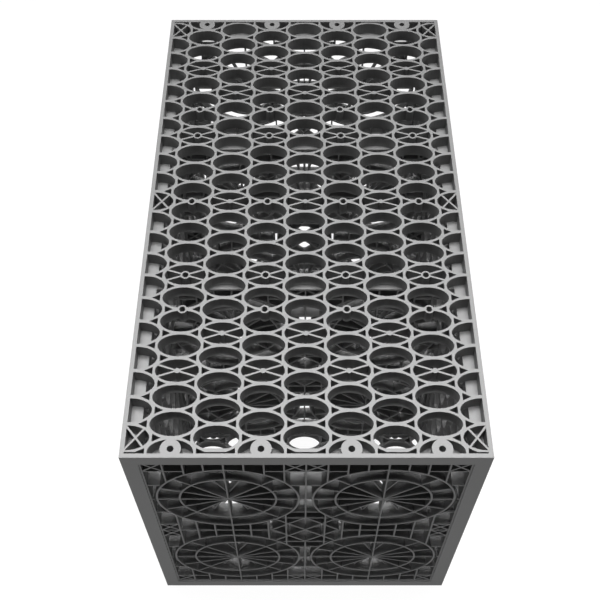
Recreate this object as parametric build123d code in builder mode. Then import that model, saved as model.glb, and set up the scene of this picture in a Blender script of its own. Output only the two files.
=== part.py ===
from build123d import *
import math
import os

# Plate-built soakaway crate: four open panels round two end plates and two inner plates.
# The origin is at the middle of the underside, X across, Y front to back, Z up.

# Overall size of the crate
WIDTH = 400.0
LENGTH = 715.0
HEIGHT = 440.0

# The four outer panels
PANEL_DEPTH = 18.0
PANEL_RIM = 5.0
CELL_WALL = 4.0
SMALLEST_SLIT = 5.0

# Cells of the top panel: columns across, rows along the length
CELL_COLUMN = 48.6
CELL_SHOULDER = 17.0

# The inner plates stand under this row of cells, counted in half rows from the middle
INNER_STATION = 116.9
HALF_ROWS_TO_STATION = 7

# Bosses of the top panel that take the pegs of the plates
BOSS_HOLE = 7.5
END_BOSS = 23.0
CELL_BOSS = 12.5
BOSS_ARM = 2.4
BOSS_SIDES = 8

# Bars of the bottom panel, wide enough for the pegs of the plates
BASE_BAR = 12.0
BASE_END_BAR = 21.0

# Tall slots of the side panels and the inner plates
SLOT_BAR = 4.0
SLOT_TIERS = 2
SIDE_SLOTS = 14
INNER_SLOTS = 8

# The four upright plates across the crate
PLATE_DEPTH = 18.0
PLATE_RAIL = 3.0
PLATE_RIB = 2.4
RIB_PITCH = 44.5
END_RECESS = 1.5
PEG_SIDE = 5.0
PEG_HEIGHT = 10.0

# Pipe rings moulded into the end plates
OUTER_RING = 168.0
INNER_RING = 115.0
RING_WALL = 2.5
RING_SIDES = 16
SPOKE = 2.4
SPOKES = 8

# Tongues on the side panels that stand in the half cells above and below:
# one in the middle and one at each end, its middle this far in from the end of the crate
TONGUE_TO_END = 23.5
TONGUE_WIDTH = 28.0
TONGUE_HEIGHT = 8.0
TONGUE_THICKNESS = 9.0
TONGUE_CLEARANCE = 0.5

plate_width = WIDTH - 2 * PANEL_DEPTH
plate_height = HEIGHT - 2 * PANEL_DEPTH
cell_row = 2 * INNER_STATION / HALF_ROWS_TO_STATION
end_station = LENGTH / 2 - END_RECESS - PLATE_DEPTH / 2
tongue_middle = WIDTH / 2 - PANEL_RIM - TONGUE_CLEARANCE - TONGUE_THICKNESS / 2
tongue_station = LENGTH / 2 - TONGUE_TO_END


def steps_from_middle(reach, pitch, first):
    """Places one pitch apart on both sides of the middle, starting at first, none past reach."""
    places = []
    place = first
    while place <= reach:
        places.append(place)
        if place > 0:
            places.append(-place)
        place += pitch
    return places


def cell_outline(column, row, shoulder):
    """Corners of a six-sided opening: cells that fill the panel, each drawn in by half a wall."""
    lean = (column - 2 * shoulder) / (row / 2)
    half_row = (row - CELL_WALL) / 2
    tip = column - shoulder - CELL_WALL / 2 * math.hypot(1, lean)
    corner = tip - half_row * lean
    right = [(corner, -half_row), (tip, 0), (corner, half_row)]
    left = [(-x, -y) for x, y in right]
    return right + left


def cell_centres(column, row, outline):
    """Centres of the cells that show inside the rim, every other column half a row on."""
    tip = max(x for x, y in outline)
    half_row = max(y for x, y in outline)
    margin = PANEL_RIM + SMALLEST_SLIT
    centres = []
    for x in steps_from_middle(WIDTH / 2 - margin + tip, column, 0):
        first = row / 2 if round(abs(x) / column) % 2 else 0
        for y in steps_from_middle(LENGTH / 2 - margin + half_row, row, first):
            centres.append((x, y))
    return centres


def boss_columns():
    """Places across of the columns whose cells are centred on the inner plates' station."""
    first = CELL_COLUMN if HALF_ROWS_TO_STATION % 2 else 0
    reach = WIDTH / 2 - PANEL_DEPTH - END_BOSS / 2
    return steps_from_middle(reach, 2 * CELL_COLUMN, first)


def station_points(station):
    """Peg places in front of and behind the middle, at one distance from it."""
    return [(x, y) for x in boss_columns() for y in (-station, station)]


def tongue_points(side):
    """Middles of the three tongues along one long side."""
    return [(side, y) for y in (-tongue_station, 0, tongue_station)]


def top_openings():
    """Every opening of the top panel as a flat sketch."""
    outline = cell_outline(CELL_COLUMN, cell_row, CELL_SHOULDER)
    tip = max(x for x, y in outline)
    half_row = max(y for x, y in outline)
    inner_bosses = station_points(INNER_STATION)
    end_bosses = station_points(end_station)
    worked = []
    plain = []
    for x, y in cell_centres(CELL_COLUMN, cell_row, outline):
        at_rim = abs(x) + tip > WIDTH / 2 - PANEL_RIM or abs(y) + half_row > LENGTH / 2 - PANEL_RIM
        at_boss = any(
            abs(x - across) < tip + size / 2 and abs(y - along) < half_row + size / 2
            for bosses, size in ((inner_bosses, CELL_BOSS), (end_bosses, END_BOSS))
            for across, along in bosses
        )
        if at_rim or at_boss:
            worked.append((x, y))
        else:
            plain.append((x, y))
    arm_length = 2 * math.hypot(CELL_COLUMN / 2, cell_row / 4)
    arm_slope = math.degrees(math.atan2(cell_row / 4, CELL_COLUMN / 2))
    turn = 180 / BOSS_SIDES
    with BuildSketch() as openings:
        with Locations(*worked):
            Polygon(*outline, align=None)
        Rectangle(WIDTH - 2 * PANEL_RIM, LENGTH - 2 * PANEL_RIM, mode=Mode.INTERSECT)
        with Locations(*inner_bosses):
            Rectangle(arm_length, BOSS_ARM, rotation=arm_slope, mode=Mode.SUBTRACT)
            Rectangle(arm_length, BOSS_ARM, rotation=-arm_slope, mode=Mode.SUBTRACT)
            RegularPolygon(CELL_BOSS / 2, BOSS_SIDES, rotation=turn, mode=Mode.SUBTRACT)
        with Locations(*end_bosses):
            RegularPolygon(END_BOSS / 2, BOSS_SIDES, rotation=turn, mode=Mode.SUBTRACT)
        with Locations(*inner_bosses, *end_bosses):
            RegularPolygon(BOSS_HOLE / 2, BOSS_SIDES, major_radius=False, rotation=turn)
        with Locations(*tongue_points(tongue_middle), *tongue_points(-tongue_middle)):
            Rectangle(TONGUE_THICKNESS + 2 * TONGUE_CLEARANCE, TONGUE_WIDTH + 2 * TONGUE_CLEARANCE)
        with Locations(*plain):
            Polygon(*outline, align=None)
    return openings.sketch


def base_openings():
    """Every opening of the bottom panel as a flat sketch: a grid of bars under the plates."""
    with BuildSketch() as openings:
        Rectangle(WIDTH - 2 * PANEL_RIM, LENGTH - 2 * BASE_END_BAR)
        with Locations(*[(x, 0) for x in steps_from_middle(WIDTH / 2 - PANEL_RIM, CELL_COLUMN, 0)]):
            Rectangle(BASE_BAR, LENGTH, mode=Mode.SUBTRACT)
        with Locations(*[(0, y * INNER_STATION) for y in (-1, 0, 1)]):
            Rectangle(WIDTH, BASE_BAR, mode=Mode.SUBTRACT)
        with Locations(*tongue_points(tongue_middle), *tongue_points(-tongue_middle)):
            Rectangle(TONGUE_THICKNESS + 2 * TONGUE_CLEARANCE, TONGUE_WIDTH + 2 * TONGUE_CLEARANCE)
        with Locations(*station_points(INNER_STATION), *station_points(end_station)):
            Rectangle(BOSS_HOLE, BOSS_HOLE)
    return openings.sketch


def flat_panel(low, openings):
    """A top or bottom panel, from its lower face up."""
    with BuildPart() as panel:
        with BuildSketch(Plane.XY.offset(low)):
            Rectangle(WIDTH, LENGTH)
            add(openings, mode=Mode.SUBTRACT)
        extrude(amount=PANEL_DEPTH)
    return panel.part


def slotted_face(across, up, count):
    """A face with rows of tall slots and bars between them, as a flat sketch."""
    step = (across - 2 * PANEL_RIM + SLOT_BAR) / count
    tier = (up - 2 * PANEL_RIM + SLOT_BAR) / SLOT_TIERS
    with BuildSketch() as face:
        Rectangle(across, up)
        with GridLocations(step, tier, count, SLOT_TIERS):
            Rectangle(step - SLOT_BAR, tier - SLOT_BAR, mode=Mode.SUBTRACT)
    return face.sketch


def side_panel(side):
    """The upright panel on one side, -1 left and 1 right, with its tongues above and below."""
    inside = Plane(
        origin=(side * plate_width / 2, 0, HEIGHT / 2), x_dir=(0, side, 0), z_dir=(side, 0, 0)
    )
    with BuildPart() as panel:
        with BuildSketch(inside):
            add(slotted_face(LENGTH, plate_height, SIDE_SLOTS))
        extrude(amount=PANEL_DEPTH)
        with BuildSketch(Plane.XY.offset(HEIGHT - PANEL_DEPTH)):
            with Locations(*tongue_points(side * tongue_middle)):
                Rectangle(TONGUE_THICKNESS, TONGUE_WIDTH)
        extrude(amount=TONGUE_HEIGHT)
        with BuildSketch(Plane.XY.offset(PANEL_DEPTH)):
            with Locations(*tongue_points(side * tongue_middle)):
                Rectangle(TONGUE_THICKNESS, TONGUE_WIDTH)
        extrude(amount=-TONGUE_HEIGHT)
    return panel.part


def pipe_ring():
    """One pipe ring with its inner ring, spokes and hub, round the middle of the sketch."""
    with BuildSketch() as ring:
        RegularPolygon(OUTER_RING / 2, RING_SIDES)
        RegularPolygon(OUTER_RING / 2 - RING_WALL, RING_SIDES, mode=Mode.SUBTRACT)
        RegularPolygon(INNER_RING / 2, RING_SIDES)
        RegularPolygon(INNER_RING / 2 - RING_WALL, RING_SIDES, mode=Mode.SUBTRACT)
        with PolarLocations(0, SPOKES // 2, angular_range=180):
            Rectangle(OUTER_RING - RING_WALL, SPOKE)
    return ring.sketch


def end_pattern():
    """The rib pattern of an end plate as a flat sketch: rail, ribs and four pipe rings."""
    centres = [(x * plate_width / 4, y * plate_height / 4) for x in (-1, 1) for y in (-1, 1)]
    uprights = {0.0}
    for side in (-1, 1):
        for step in steps_from_middle(plate_width / 4 - PLATE_RAIL, RIB_PITCH, 0):
            uprights.add(side * plate_width / 4 + step)
    with BuildSketch() as pattern:
        Rectangle(plate_width, plate_height)
        Rectangle(plate_width - 2 * PLATE_RAIL, plate_height - 2 * PLATE_RAIL, mode=Mode.SUBTRACT)
        with Locations(*[(x, 0) for x in sorted(uprights)]):
            Rectangle(PLATE_RIB, plate_height)
        Rectangle(plate_width, PLATE_RIB)
        with Locations(*centres):
            RegularPolygon(OUTER_RING / 2 - RING_WALL / 2, RING_SIDES, mode=Mode.SUBTRACT)
            add(pipe_ring())
        Rectangle(plate_width, plate_height, mode=Mode.INTERSECT)
    return pattern.sketch


def plate(station, pattern):
    """One upright plate across the crate, its middle at station, with pegs above and below."""
    pegs = [(x, station) for x in boss_columns()]
    front_face = Plane(
        origin=(0, station - PLATE_DEPTH / 2, HEIGHT / 2), x_dir=(1, 0, 0), z_dir=(0, -1, 0)
    )
    with BuildPart() as upright:
        with BuildSketch(front_face):
            add(pattern)
        extrude(amount=-PLATE_DEPTH)
        with BuildSketch(Plane.XY.offset(HEIGHT - PANEL_DEPTH)):
            with Locations(*pegs):
                Rectangle(PEG_SIDE, PEG_SIDE)
        extrude(amount=PEG_HEIGHT)
        with BuildSketch(Plane.XY.offset(PANEL_DEPTH)):
            with Locations(*pegs):
                Rectangle(PEG_SIDE, PEG_SIDE)
        extrude(amount=-PEG_HEIGHT)
    return upright.part


end_face = end_pattern()
inner_face = slotted_face(plate_width, plate_height, INNER_SLOTS)
pieces = {
    "top_panel": flat_panel(HEIGHT - PANEL_DEPTH, top_openings()),
    "bottom_panel": flat_panel(0, base_openings()),
    "left_side_panel": side_panel(-1),
    "right_side_panel": side_panel(1),
    "front_end_plate": plate(-end_station, end_face),
    "rear_end_plate": plate(end_station, end_face),
    "front_inner_plate": plate(-INNER_STATION, inner_face),
    "rear_inner_plate": plate(INNER_STATION, inner_face),
}

os.makedirs("parts", exist_ok=True)
for name, piece in pieces.items():
    piece.label = name
    export_step(piece, f"parts/{name}.step")
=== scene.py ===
import math

import bmesh
import bpy
from mathutils import Matrix, Vector


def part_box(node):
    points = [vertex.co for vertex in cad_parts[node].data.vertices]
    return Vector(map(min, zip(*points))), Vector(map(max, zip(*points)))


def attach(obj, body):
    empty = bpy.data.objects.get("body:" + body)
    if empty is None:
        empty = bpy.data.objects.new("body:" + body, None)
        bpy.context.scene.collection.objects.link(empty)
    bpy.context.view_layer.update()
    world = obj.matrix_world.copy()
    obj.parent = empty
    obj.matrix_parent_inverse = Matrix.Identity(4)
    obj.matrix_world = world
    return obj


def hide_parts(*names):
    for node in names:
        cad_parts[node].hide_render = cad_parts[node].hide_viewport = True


# Soakaway crate: moulded grey panels with elliptical cells round four upright ring plates.
# Lengths are in millimetres until a piece is finished, where they become metres.

MM = 0.001

# Cell lattice of the panels, with the number of the last column on either side
COLUMN_PITCH = 48.6
SIDE_COLUMN = 4
ROW_PITCH = 33.4
OPENING_ACROSS = 25.0
OPENING_ALONG = 14.7

# Outer outline of a cell's wall, half way round, one entry for each neighbour that it touches:
# half the flat, the way back to the middle of the gap before it (both in degrees), and how far
# out the wall lies in that gap, as a share of the distance to the flats
CONTACTS = ((14.5, 30, 0.985), (22, 34, 1.035), (14.5, 26, 1.035))
PANEL_DEPTH = 18.0
RIM = 5.0
SOFT_EDGE = 0.2

# How far cells and bars reach into the rim, and end bosses stay back from its outer face
RIM_OVERLAP = 1

# Faces that cross each other are stepped by this much, so that none lie in one plane
STEP = 0.1

# Bosses and crossed arms inside the cells
HOLE = 7.5
END_BOSS = 23.0
RING_BOSS = 11.5
SOLID_BOSS = 6.6
ARM = 2.2
BOSS_SIDES = 32

# Rows, counted in half rows from the middle, that hold something in their cells
PLATE_HALF_ROWS = 7
END_HALF_ROWS = 21
MIDDLE_CROSS_HALF_ROWS = (0, 12)
SIDE_CROSS_HALF_ROWS = 15
SPARE_BOSS_HALF_ROWS = (0, 10)
RIM_CROSS_HALF_ROWS = (0, 20)
END_BOSS_INSET = 10.5

# Far ends of the crosses in the side half cells: the turns round the opening, in degrees, that
# give their place across and their place along
RIM_CROSS_ACROSS = 40
RIM_CROSS_ALONG = 50

# Ring plates, with the number of upright ribs on either side of a ring's middle
RAIL = 3.0
SIDE_RAIL = 2.0
RIB = 1.9
RIB_PITCH = 22.25
RIBS_BESIDE = 3
OUTER_RING = 168.0
INNER_RING = 115.0
RING_WALL = 2.3
RING_STEPS = 72
SPOKE = 1.7
SPOKES = 16
STEEP_SPOKE_RECESS = 8.0

# Middle of a ring plate: reach of the diamond, share of it that the crossing bars reach, and half
# the shelf at each upright tip
DIAMOND = 41.5
CROSSING_REACH = 0.95
TIP_SHELF = 28

# Shelves of a ring plate: height of the crossed cells, rows above and below the ring centres,
# stubs at the side rails, and half the shelf between the rings
CROSSED_CELL = 20.5
ROW_FROM_RING = 40.0
STUB = 15.0
BETWEEN_RINGS = STUB + 4

# Camera, as solved from the corners of the crate, its tilt then set by comparing edges
LENS = 54.9
SENSOR = 36.0
CAMERA_PLACE = (-0.0068, -0.7696, 1.3374)
CAMERA_TILT = 34.45

# Floor: its reach in metres, what it sends back up, how much of its look reflections keep, and
# that look, plain white mixed with a shaded part that shows the shadow
FLOOR_REACH = 12
FLOOR_BOUNCE = 0.02
FLOOR_MIRRORED = 0.35
FLOOR_WHITE = 1.05
FLOOR_SHADED = 0.9
FLOOR_PLAIN_SHARE = 0.9

# The even surround, as it lights the crate
SURROUND = 0.04

# The lamp overhead: place, target and size in metres, spread in degrees, and power
OVERHEAD_PLACE = (0, 0.2, 3.2)
OVERHEAD_TARGET = (0, -0.38, 0.44)
OVERHEAD_SIZE = (2.4, 1.8)
OVERHEAD_SPREAD = 60
OVERHEAD_POWER = 33.5

# Fills round the crate, low at the ends and high at the sides: name, place in metres and power
FILLS = (
    ("front_fill", (0, -1.6, 0.2), 7.3),
    ("rear_fill", (0, 1.6, 0.38), 7.4),
    ("left_fill", (-1.5, 0.1, 1.0), 5.0),
    ("right_fill", (1.5, 0.1, 1.0), 5.0),
)
FILL_SIZE = (1.2, 0.2)
FILL_TARGET = (0, 0, 0.3)

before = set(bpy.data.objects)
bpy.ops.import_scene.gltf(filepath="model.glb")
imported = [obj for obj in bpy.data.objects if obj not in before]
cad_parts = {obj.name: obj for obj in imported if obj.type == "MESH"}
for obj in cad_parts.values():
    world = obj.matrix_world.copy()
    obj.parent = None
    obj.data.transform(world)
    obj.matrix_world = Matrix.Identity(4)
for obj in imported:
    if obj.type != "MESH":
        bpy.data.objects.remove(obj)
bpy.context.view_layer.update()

width = (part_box("top_panel")[1].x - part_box("top_panel")[0].x) / MM
length = (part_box("top_panel")[1].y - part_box("top_panel")[0].y) / MM
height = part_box("top_panel")[1].z / MM
side_height = height - 2 * PANEL_DEPTH
plate_width = width - 2 * PANEL_DEPTH
half_row = ROW_PITCH / 2
outer_across = COLUMN_PITCH / math.sqrt(3)


class Amount:
    """A number that varies over a surface. Arithmetic on it adds the Math nodes."""

    def __init__(self, recipe, socket):
        self.recipe = recipe
        self.socket = socket

    def _with(self, operation, first, second):
        return self.recipe.add("ShaderNodeMath", {"operation": operation}, {0: first, 1: second})

    def __add__(self, other):
        return self._with("ADD", self, other)

    def __radd__(self, other):
        return self._with("ADD", other, self)

    def __mul__(self, other):
        return self._with("MULTIPLY", self, other)

    def __rmul__(self, other):
        return self._with("MULTIPLY", other, self)


class Recipe:
    """One material and the method that adds its nodes."""

    def __init__(self, name):
        self.material = bpy.data.materials.new(name)
        self.material.use_nodes = True
        self.tree = self.material.node_tree
        self.tree.nodes.clear()

    def add(self, kind, settings=None, sockets=None, output=0):
        made = self.tree.nodes.new(kind)
        for setting, value in (settings or {}).items():
            setattr(made, setting, value)
        for socket, value in (sockets or {}).items():
            if isinstance(value, Amount):
                self.tree.links.new(value.socket, made.inputs[socket])
            else:
                made.inputs[socket].default_value = value
        return Amount(self, made.outputs[output]) if made.outputs else made


def grey(level):
    """A neutral colour."""
    return (level, level, level, 1.0)


def moulded_plastic(name, level, roughness):
    """Satin moulded plastic: a fine spark-eroded grain, faint flow clouding, uneven sheen."""
    recipe = Recipe(name)
    place = recipe.add("ShaderNodeTexCoord", output=3)
    clouding = recipe.add(
        "ShaderNodeTexNoise", sockets={"Vector": place, "Scale": 14.0, "Detail": 4.0, "Roughness": 0.55}
    )
    flecks = recipe.add(
        "ShaderNodeTexNoise", sockets={"Vector": place, "Scale": 420.0, "Detail": 3.0, "Roughness": 0.6}
    )
    grain = recipe.add(
        "ShaderNodeTexNoise", sockets={"Vector": place, "Scale": 1500.0, "Detail": 2.0, "Roughness": 0.5}
    )
    shade = 0.7 * clouding + 0.3 * flecks
    colour = recipe.add(
        "ShaderNodeMix",
        {"data_type": "RGBA"},
        {0: shade, 6: grey(level * 0.9), 7: grey(level * 1.1)},
        output=2,
    )
    surface = grain * 0.6 + flecks * 0.4
    bump = recipe.add(
        "ShaderNodeBump", sockets={"Strength": 0.12, "Distance": 0.0002, "Height": surface}
    )
    sheen = roughness - 0.08 + clouding * 0.16
    shader = recipe.add(
        "ShaderNodeBsdfPrincipled",
        sockets={"Base Color": colour, "Roughness": sheen, "Normal": bump, "IOR": 1.49},
    )
    recipe.add("ShaderNodeOutputMaterial", sockets={"Surface": shader})
    return recipe.material


def white_floor():
    """A white floor with a faint shadow, dimmer in reflections, that sends little light back."""
    recipe = Recipe("white_floor")
    seen = recipe.add("ShaderNodeLightPath", output=0)
    mirrored = recipe.add("ShaderNodeLightPath", output=3)
    bounced = recipe.add("ShaderNodeBsdfDiffuse", sockets={"Color": grey(FLOOR_BOUNCE)})
    shaded = recipe.add("ShaderNodeBsdfDiffuse", sockets={"Color": grey(FLOOR_SHADED)})
    plain = recipe.add("ShaderNodeEmission", sockets={"Color": grey(1.0), "Strength": FLOOR_WHITE})
    shown = recipe.add("ShaderNodeMixShader", sockets={0: FLOOR_PLAIN_SHARE, 1: shaded, 2: plain})
    share_shown = seen + mirrored * FLOOR_MIRRORED
    mixed = recipe.add("ShaderNodeMixShader", sockets={0: share_shown, 1: bounced, 2: shown})
    recipe.add("ShaderNodeOutputMaterial", sockets={"Surface": mixed})
    return recipe.material


def column_places():
    """Places across of the cell columns, with the column's number from the middle."""
    return [(n, n * COLUMN_PITCH) for n in range(-SIDE_COLUMN, SIDE_COLUMN + 1)]


def row_places(column):
    """Places along of one column's cells: odd columns stand half a row on."""
    last = END_HALF_ROWS if column % 2 else END_HALF_ROWS - 1
    return [n * half_row for n in range(-last, last + 1, 2)]


def cell_faces(bm):
    """One elliptical ring wall, flat, round the origin, with flats where its neighbours touch it."""
    middle = math.degrees(math.atan(HOLE / 2 / outer_across))
    outline = []
    for number, (flat, gap, reach) in enumerate(CONTACTS * 2):
        contact = 30 + 60 * number
        outline.append((contact - gap, reach))
        for turn in (-flat, -middle, middle, flat):
            outline.append((contact + turn, 1 / math.cos(math.radians(turn))))
    outer = []
    inner = []
    for degrees, reach in outline:
        angle = math.radians(degrees)
        spot = (outer_across * reach * math.cos(angle), half_row * reach * math.sin(angle), 0)
        outer.append(bm.verts.new(spot))
    for count in range(len(outer)):
        angle = 2 * math.pi * count / len(outer)
        spot = (OPENING_ACROSS * math.cos(angle), OPENING_ALONG * math.sin(angle), 0)
        inner.append(bm.verts.new(spot))
    pairs = list(zip(outer, inner))
    return [
        bm.faces.new((start[1], start[0], end[0], end[1]))
        for start, end in zip(pairs, pairs[1:] + pairs[:1])
    ]


def lattice(panel_width, panel_length, spare_bosses):
    """The cell lattice of one panel, middle at the origin, cut off inside the rim."""
    bm = bmesh.new()
    first = cell_faces(bm)
    pattern = first + list({edge for face in first for edge in face.edges})
    pattern += list({vert for face in first for vert in face.verts})
    for number, across in column_places():
        for along in row_places(number):
            if (number, along) == (0, 0):
                continue
            copied = bmesh.ops.duplicate(bm, geom=pattern)["geom"]
            verts = [item for item in copied if isinstance(item, bmesh.types.BMVert)]
            bmesh.ops.translate(bm, verts=verts, vec=(across, along, 0))
    bmesh.ops.remove_doubles(bm, verts=bm.verts, dist=0.01)
    opened = [
        face
        for face in bm.faces
        if any((face.calc_center_median() - Vector(spot + (0,))).length < HOLE / 3 for spot in spare_bosses)
    ]
    bmesh.ops.delete(bm, geom=opened, context="FACES")
    reach_across = panel_width / 2 - RIM + RIM_OVERLAP
    reach_along = panel_length / 2 - RIM + RIM_OVERLAP
    for normal, reach in (((1, 0, 0), reach_across), ((0, 1, 0), reach_along)):
        for side in (-1, 1):
            direction = Vector(normal) * side
            everything = list(bm.verts) + list(bm.edges) + list(bm.faces)
            bmesh.ops.bisect_plane(
                bm, geom=everything, plane_co=direction * reach, plane_no=direction, clear_outer=True
            )
    thicken(bm, list(bm.faces), PANEL_DEPTH / 2 - STEP)
    return bm


def thicken(bm, faces, half_depth):
    """Turns a flat sheet at height zero into a plate from -half_depth to half_depth."""
    verts = list({vert for face in faces for vert in face.verts})
    bmesh.ops.translate(bm, verts=verts, vec=(0, 0, -half_depth))
    grown = bmesh.ops.extrude_face_region(bm, geom=faces)["geom"]
    raised = [item for item in grown if isinstance(item, bmesh.types.BMVert)]
    bmesh.ops.translate(bm, verts=raised, vec=(0, 0, 2 * half_depth))


def rim(bm, panel_width, panel_length):
    """The frame round a panel, a little soft at the edges that no other piece meets."""
    corners = bmesh.ops.create_grid(bm, x_segments=1, y_segments=1, size=0.5)["verts"]
    bmesh.ops.scale(bm, verts=corners, vec=(panel_width, panel_length, 1))
    sheet = corners[0].link_faces[0]
    border = bmesh.ops.inset_region(
        bm, faces=[sheet], thickness=RIM, use_boundary=True, use_even_offset=True
    )["faces"]
    bmesh.ops.delete(bm, geom=[sheet], context="FACES")
    thicken(bm, border, PANEL_DEPTH / 2)
    reached = {vert for face in border for vert in face.verts}
    known = {edge for vert in reached for edge in vert.link_edges}
    known |= {edge for old in list(known) for vert in old.verts for edge in vert.link_edges}
    outer = [
        edge
        for edge in known
        if max(vert.co.z for vert in edge.verts) > 0
        and all(
            abs(abs(vert.co.x) - panel_width / 2) < STEP or abs(abs(vert.co.y) - panel_length / 2) < STEP
            for vert in edge.verts
        )
    ]
    bmesh.ops.bevel(
        bm,
        geom=outer,
        offset=SOFT_EDGE,
        offset_type="OFFSET",
        affect="EDGES",
        segments=2,
        profile=0.5,
        material=-1,
        clamp_overlap=True,
    )


def tube(bm, place, outer_diameter, inner_diameter, half_depth, sides):
    """A round wall, or a solid disc where the inner diameter is zero."""
    if inner_diameter:
        outer = bmesh.ops.create_circle(bm, segments=sides, radius=outer_diameter / 2)["verts"]
        inner = bmesh.ops.create_circle(bm, segments=sides, radius=inner_diameter / 2)["verts"]
        edges = list({edge for vert in outer + inner for edge in vert.link_edges})
        faces = bmesh.ops.bridge_loops(bm, edges=edges)["faces"]
    else:
        outer = bmesh.ops.create_circle(
            bm, cap_ends=True, segments=sides, radius=outer_diameter / 2
        )["verts"]
        faces = [outer[0].link_faces[0]]
    verts = list({vert for face in faces for vert in face.verts})
    bmesh.ops.translate(bm, verts=verts, vec=(place[0], place[1], 0))
    thicken(bm, faces, half_depth)


def bar(bm, start, end, bar_width, low, high):
    """A straight rib between two points of the sheet, from height low to height high."""
    start = Vector(start)
    end = Vector(end)
    run = end - start
    middle = (start + end) / 2
    place = Matrix.Translation((middle.x, middle.y, (low + high) / 2))
    turn = Matrix.Rotation(math.atan2(run.y, run.x), 4, "Z")
    stretch = Matrix.Diagonal((run.length, bar_width, high - low, 1))
    bmesh.ops.create_cube(bm, size=1, matrix=place @ turn @ stretch)


def crossed_arms(bm, place, start):
    """Four arms from near a cell's middle to the walls that it shares with its neighbours."""
    half_depth = PANEL_DEPTH / 2 - 2 * STEP
    reach = Vector((COLUMN_PITCH / 2, half_row / 2))
    for across in (-1, 1):
        for along in (-1, 1):
            arm = Vector((across * reach.x, along * reach.y))
            foot = Vector(place) + arm * (start / arm.length)
            bar(bm, foot, Vector(place) + arm, ARM, -half_depth, half_depth)


def rim_cross(bm, side, along, panel_width):
    """The cross in a half cell against the side rim."""
    half_depth = PANEL_DEPTH / 2 - 2 * STEP
    edge = side * (panel_width / 2 - RIM + RIM_OVERLAP)
    reach = OPENING_ACROSS * math.cos(math.radians(RIM_CROSS_ACROSS))
    wall = side * (SIDE_COLUMN * COLUMN_PITCH - reach)
    near = OPENING_ALONG
    far = OPENING_ALONG * math.sin(math.radians(RIM_CROSS_ALONG))
    bar(bm, (edge, along - near), (wall, along + far), ARM, -half_depth, half_depth)
    bar(bm, (edge, along + near), (wall, along - far), ARM, -half_depth + STEP, half_depth - STEP)


def cell_panel(panel_width, panel_length, with_bosses):
    """One whole panel: lattice, rim, and on top and bottom panels the bosses and crosses."""
    odd_columns = [place for number, place in column_places() if number % 2]
    even_columns = [
        place for number, place in column_places() if number % 2 == 0 and abs(number) < SIDE_COLUMN
    ]
    spare = []
    if with_bosses:
        for across in odd_columns:
            for rows in SPARE_BOSS_HALF_ROWS:
                spare += [(across, rows * half_row), (across, -rows * half_row)]
    bm = lattice(panel_width, panel_length, spare)
    rim(bm, panel_width, panel_length)
    if not with_bosses:
        return bm
    half_depth = PANEL_DEPTH / 2 - STEP
    for across, along in sorted(set(spare)):
        tube(bm, (across, along), RING_BOSS, HOLE, half_depth + STEP / 2, BOSS_SIDES)
    for side in (-1, 1):
        for across in odd_columns:
            plate_row = side * PLATE_HALF_ROWS * half_row
            crossed_arms(bm, (across, plate_row), RING_BOSS / 2 - ARM / 2)
            tube(bm, (across, plate_row), RING_BOSS, HOLE, half_depth, BOSS_SIDES)
            solid_row = side * SIDE_CROSS_HALF_ROWS * half_row
            crossed_arms(bm, (across, solid_row), 0)
            tube(bm, (across, solid_row), SOLID_BOSS, 0, half_depth, BOSS_SIDES // 2)
            end_row = side * (panel_length / 2 - END_BOSS_INSET)
            end_boss(bm, across, end_row, panel_length)
    for rows in MIDDLE_CROSS_HALF_ROWS:
        for along in sorted({rows * half_row, -rows * half_row}):
            for across in even_columns:
                crossed_arms(bm, (across, along), 0)
                tube(bm, (across, along), SOLID_BOSS, 0, half_depth, BOSS_SIDES // 2)
    for rows in RIM_CROSS_HALF_ROWS:
        for along in sorted({rows * half_row, -rows * half_row}):
            for side in (-1, 1):
                rim_cross(bm, side, along, panel_width)
    return bm


def end_boss(bm, across, along, panel_length):
    """A large boss at the end of a panel, cut off inside the rim."""
    piece = bmesh.new()
    tube(piece, (across, along), END_BOSS, HOLE, PANEL_DEPTH / 2 - STEP / 2, BOSS_SIDES)
    side = math.copysign(1, along)
    cut = bmesh.ops.bisect_plane(
        piece,
        geom=list(piece.verts) + list(piece.edges) + list(piece.faces),
        plane_co=(0, side * (panel_length / 2 - RIM_OVERLAP), 0),
        plane_no=(0, side, 0),
        clear_outer=True,
    )["geom_cut"]
    edges = [item for item in cut if isinstance(item, bmesh.types.BMEdge)]
    bmesh.ops.holes_fill(piece, edges=edges, sides=0)
    scratch = bpy.data.meshes.new("end_boss")
    piece.to_mesh(scratch)
    piece.free()
    bm.from_mesh(scratch)
    bpy.data.meshes.remove(scratch)


def ring(bm, centre, front):
    """One pipe ring with its inner ring and sixteen spokes."""
    tube(bm, centre, OUTER_RING, OUTER_RING - 2 * RING_WALL, front, RING_STEPS)
    tube(bm, centre, INNER_RING, INNER_RING - 2 * RING_WALL, front - STEP, RING_STEPS)
    middle = Vector(centre)
    for count in range(SPOKES):
        angle = math.radians(count * 360 / SPOKES)
        steep = count % 4 in (1, 3) and abs(math.sin(angle)) > abs(math.cos(angle))
        reach = (INNER_RING if steep else OUTER_RING) / 2 - RING_WALL / 2
        tip = middle + Vector((math.cos(angle), math.sin(angle))) * reach
        high = front - STEEP_SPOKE_RECESS if steep else front - (2 + count % 4) * STEP
        bar(bm, middle, tip, SPOKE, -front + STEP * (1 + count % 4), high)


def ribs_between(bm, fixed, upright, spans, half_depth):
    """Ribs on one line of the plate, one for each span along it."""
    for low, high in spans:
        if upright:
            bar(bm, (fixed, low), (fixed, high), RIB, -half_depth, half_depth)
        else:
            bar(bm, (low, fixed), (high, fixed), RIB, -half_depth, half_depth)


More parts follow.
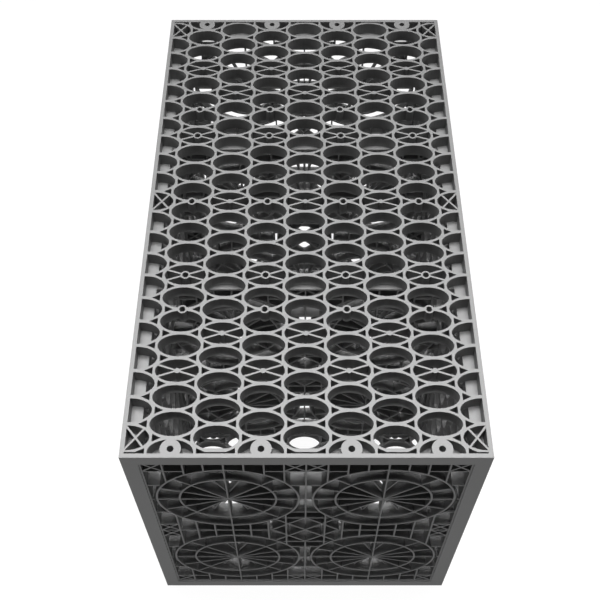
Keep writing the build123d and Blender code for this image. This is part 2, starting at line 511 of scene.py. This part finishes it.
def clear_of_rings(offset, half_height, ring_height):
    """Heights on an upright line, offset from the ring centres, that lie outside both rings."""
    radius = OUTER_RING / 2 - RING_WALL / 2
    if offset >= radius:
        return [(-half_height, half_height)]
    chord = math.sqrt(radius**2 - offset**2)
    return [
        (-half_height, -ring_height - chord),
        (-ring_height + chord, ring_height - chord),
        (ring_height + chord, half_height),
    ]


def three_spans(middle, stub, edge):
    """Spans of a level line: one across the middle, and one from each side rail in to the stub."""
    return [(-edge, -stub), (-middle, middle), (stub, edge)]


def ring_plate():
    """One upright plate: rails, ribs, crossed cells, the middle diamond and four rings."""
    bm = bmesh.new()
    front = PANEL_DEPTH / 2
    half_width = plate_width / 2 - SIDE_RAIL / 2
    half_height = side_height / 2 - RAIL / 2
    ring_across = plate_width / 4
    ring_up = side_height / 4
    for side in (-1, 1):
        rail = side * half_width
        bar(bm, (rail, -side_height / 2), (rail, side_height / 2), SIDE_RAIL, -front, front)
        bar(
            bm,
            (-half_width, side * half_height),
            (half_width, side * half_height),
            RAIL,
            -front + STEP,
            front - STEP,
        )
    outer_rib = ring_across + RIBS_BESIDE * RIB_PITCH
    inner_rib = ring_across - RIBS_BESIDE * RIB_PITCH
    outer_stub = ring_across + (RIBS_BESIDE - 1) * RIB_PITCH
    inner_stub = ring_across - (RIBS_BESIDE - 1) * RIB_PITCH
    between = ring_across - OUTER_RING / 2 + RING_WALL
    for side in (-1, 1):
        for number in range(-RIBS_BESIDE, RIBS_BESIDE + 1):
            line = side * ring_across + number * RIB_PITCH
            spans = clear_of_rings(abs(number) * RIB_PITCH, half_height, ring_up)
            ribs_between(bm, line, True, spans, front - 3 * STEP)
    ribs_between(bm, 0, True, [(-half_height, -DIAMOND), (DIAMOND, half_height)], front - 3 * STEP)
    shelf = front - 4 * STEP
    crossed_row = half_height - CROSSED_CELL
    for level in (-1, 1):
        spans = three_spans(inner_stub, outer_stub, half_width)
        ribs_between(bm, level * crossed_row, False, spans, shelf)
        spans = three_spans(BETWEEN_RINGS, half_width - STUB, half_width)
        for shift in (-ROW_FROM_RING, ROW_FROM_RING):
            ribs_between(bm, level * (ring_up + shift), False, spans, shelf)
        spans = three_spans(between, half_width - 2 * RIB, half_width)
        ribs_between(bm, level * ring_up, False, spans, shelf)
        ribs_between(bm, level * DIAMOND, False, [(-TIP_SHELF, TIP_SHELF)], shelf)
        spans = [(-half_width, -outer_rib), (outer_rib, half_width)]
        ribs_between(bm, level * CROSSED_CELL, False, spans, shelf)
    ribs_between(bm, 0, False, [(-half_width, -inner_stub), (inner_stub, half_width)], shelf)
    for across in (-1, 1):
        for level in (-1, 1):
            low = level * crossed_row
            high = level * half_height
            crossed_cell(bm, across * outer_rib, across * half_width, low, high)
            crossed_cell(bm, 0, across * inner_rib, low, high)
            crossed_cell(bm, across * outer_rib, across * half_width, 0, level * CROSSED_CELL)
            ring(bm, (across * ring_across, level * ring_up), front - 2 * STEP)
    for slope in (-1, 1):
        for shift in (-DIAMOND, 0, DIAMOND):
            diagonal(bm, slope, shift)
    return bm


def crossed_cell(bm, left, right, low, high):
    """A small square cell with a cross in it."""
    half_depth = PANEL_DEPTH / 2 - 6 * STEP
    bar(bm, (left, low), (right, high), ARM, -half_depth, half_depth)
    bar(bm, (left, high), (right, low), ARM, -half_depth + STEP, half_depth - STEP)


def diagonal(bm, slope, shift):
    """One slanting rib in the middle of a plate: a side of the diamond, or with no shift a bar
    that crosses it."""
    half_depth = PANEL_DEPTH / 2 - 8 * STEP - (slope + 1) * STEP
    if shift:
        start = (0, shift)
        end = (-slope * math.copysign(DIAMOND, shift), 0)
    else:
        reach = DIAMOND * CROSSING_REACH
        start = (-reach, -slope * reach)
        end = (reach, slope * reach)
    bar(bm, start, end, ARM, -half_depth, half_depth)


def finish_piece(bm, name, node, place, material):
    """Places a finished mesh in metres, hangs it on the root and hides the part that it stands for."""
    bmesh.ops.recalc_face_normals(bm, faces=bm.faces)
    bmesh.ops.transform(bm, matrix=Matrix.Scale(MM, 4) @ place, verts=bm.verts)
    mesh = bpy.data.meshes.new(name)
    bm.to_mesh(mesh)
    bm.free()
    piece = bpy.data.objects.new(name, mesh)
    bpy.context.scene.collection.objects.link(piece)
    mesh.materials.append(material)
    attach(piece, "root")
    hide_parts(node)


def build_panels(material):
    """The four outer panels."""
    middle = height / 2
    half = PANEL_DEPTH / 2
    upright = width / 2 - half
    quarter = math.radians(90)
    places = {
        "top_panel": (width, True, Matrix.Translation((0, 0, height - half))),
        "bottom_panel": (
            width,
            True,
            Matrix.Translation((0, 0, half)) @ Matrix.Rotation(2 * quarter, 4, "Y"),
        ),
        "right_side_panel": (
            side_height,
            False,
            Matrix.Translation((upright, 0, middle)) @ Matrix.Rotation(quarter, 4, "Y"),
        ),
        "left_side_panel": (
            side_height,
            False,
            Matrix.Translation((-upright, 0, middle)) @ Matrix.Rotation(-quarter, 4, "Y"),
        ),
    }
    for node, (across, with_bosses, place) in places.items():
        bm = cell_panel(across, length, with_bosses)
        finish_piece(bm, node.replace("panel", "cells"), node, place, material)


def build_plates(material):
    """The four upright plates, each facing out from the middle of the crate."""
    face_front = Matrix.Rotation(math.radians(90), 4, "X")
    face_rear = Matrix.Rotation(math.radians(180), 4, "Z") @ face_front
    for node in ("front_end_plate", "front_inner_plate", "rear_inner_plate", "rear_end_plate"):
        low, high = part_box(node)
        station = (low.y + high.y) / 2 / MM
        turn = face_front if station < 0 else face_rear
        place = Matrix.Translation((0, station, height / 2)) @ turn
        finish_piece(ring_plate(), node.replace("plate", "rings"), node, place, material)


def build_floor():
    """The floor, wide enough to fill the view."""
    bm = bmesh.new()
    bmesh.ops.create_grid(bm, x_segments=1, y_segments=1, size=FLOOR_REACH)
    mesh = bpy.data.meshes.new("floor")
    bm.to_mesh(mesh)
    bm.free()
    floor = bpy.data.objects.new("floor", mesh)
    bpy.context.scene.collection.objects.link(floor)
    mesh.materials.append(white_floor())


def area_lamp(name, size, power, place, target):
    """A rectangular lamp at a place, turned to a target and hidden from the camera."""
    lamp = bpy.data.lights.new(name, "AREA")
    lamp.shape = "RECTANGLE"
    lamp.size = size[0]
    lamp.size_y = size[1]
    lamp.energy = power
    holder = bpy.data.objects.new(name, lamp)
    holder.location = place
    holder.rotation_euler = (Vector(target) - Vector(place)).to_track_quat("-Z", "Y").to_euler()
    holder.visible_camera = False
    bpy.context.scene.collection.objects.link(holder)
    return lamp


def build_light():
    """A wide lamp overhead, fills on four sides, and a dim surround that the camera sees white."""
    overhead = area_lamp("overhead", OVERHEAD_SIZE, OVERHEAD_POWER, OVERHEAD_PLACE, OVERHEAD_TARGET)
    overhead.spread = math.radians(OVERHEAD_SPREAD)
    for name, place, power in FILLS:
        area_lamp(name, FILL_SIZE, power, place, FILL_TARGET)
    world = bpy.data.worlds.new("surround")
    bpy.context.scene.world = world
    world.use_nodes = True
    tree = world.node_tree
    tree.nodes.clear()
    path = tree.nodes.new("ShaderNodeLightPath")
    level = tree.nodes.new("ShaderNodeMapRange")
    level.inputs["To Min"].default_value = SURROUND
    level.inputs["To Max"].default_value = 1.0
    background = tree.nodes.new("ShaderNodeBackground")
    background.inputs["Color"].default_value = grey(1.0)
    output = tree.nodes.new("ShaderNodeOutputWorld")
    tree.links.new(path.outputs["Is Camera Ray"], level.inputs["Value"])
    tree.links.new(level.outputs["Result"], background.inputs["Strength"])
    tree.links.new(background.outputs["Background"], output.inputs["Surface"])


def build_camera():
    """The view of the photo."""
    view = bpy.data.cameras.new("camera")
    view.lens = LENS
    view.sensor_width = SENSOR
    camera = bpy.data.objects.new("camera", view)
    camera.location = CAMERA_PLACE
    camera.rotation_euler = (math.radians(CAMERA_TILT), 0, 0)
    bpy.context.scene.collection.objects.link(camera)
    bpy.context.scene.camera = camera


build_panels(moulded_plastic("panel_grey", 0.18, 0.5))
build_plates(moulded_plastic("plate_grey", 0.17, 0.48))
build_floor()
build_light()
build_camera()
bpy.context.scene.view_settings.view_transform = "Standard"
